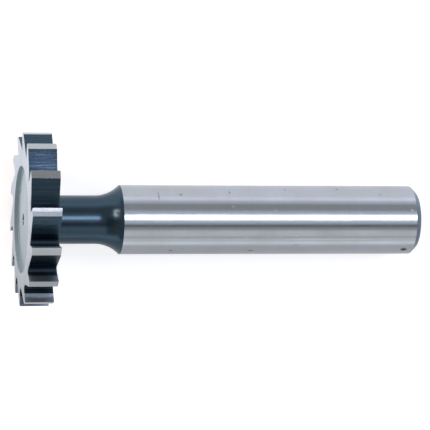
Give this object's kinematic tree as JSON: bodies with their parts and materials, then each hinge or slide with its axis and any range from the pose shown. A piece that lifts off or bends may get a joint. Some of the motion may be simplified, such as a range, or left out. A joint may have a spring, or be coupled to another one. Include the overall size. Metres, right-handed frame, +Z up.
{
  "type": "t-slot cutter",
  "caption": "Straight-toothed T-slot milling cutter: a thin toothed disc head on a slim neck that flares into a plain cylindrical shank for a collet.",
  "frame": {"origin": "on the surface that the tool lies on, under the middle of its box", "axes": "+Z up; the tool lies along X, head towards -X and shank towards +X, with its axis in the XZ plane and sloping down towards the shank, as it rests on two neighbouring teeth and the end of its shank"},
  "size_m": [0.072, 0.03, 0.0298],
  "materials": {
    "tool_steel": "fine ground and bright on the shank, the lands and the head's sides; blue-black oxide on the neck, in the gullets and on the end of the shank"
  },
  "bodies": {
    "root": {"cutter": "tool_steel"}
  },
  "joints": []
}
